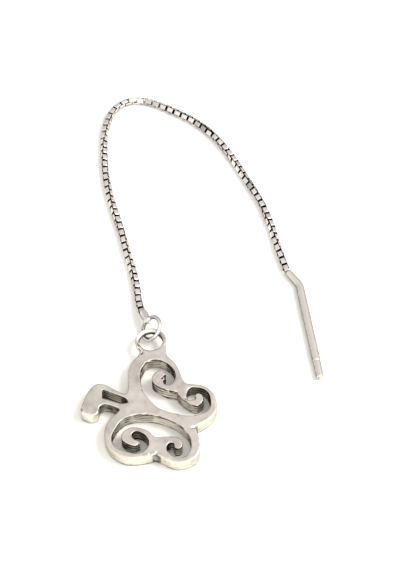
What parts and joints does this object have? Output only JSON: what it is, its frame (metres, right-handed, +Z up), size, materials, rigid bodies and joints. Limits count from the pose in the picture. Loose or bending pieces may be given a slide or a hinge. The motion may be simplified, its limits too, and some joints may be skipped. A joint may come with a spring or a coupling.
{
  "type": "chain earring",
  "caption": "Fine box chain with a bent wire post soldered to one end and a pierced butterfly drop linked to the other, worn threaded through a pierced earlobe.",
  "frame": {"origin": "middle of the laid-out earring's footprint, on the surface that it lies on", "axes": "+Z up, +X to the viewer's right, +Y away from the viewer, from the drop towards the bend of the chain"},
  "size_m": [0.0248, 0.0504, 0.0023],
  "materials": {
    "cast_silver": "cast silver, filed and softly polished, dark in the openings",
    "ring_silver": "drawn silver wire with a bright solder joint",
    "chain_silver": "bright silver box chain, tarnished dark between the links",
    "post_silver": "drawn silver wire with a soft shine along it"
  },
  "bodies": {
    "root": {"pendant": "cast_silver", "end_ring": "ring_silver", "chain": "chain_silver", "post": "post_silver"}
  },
  "joints": []
}
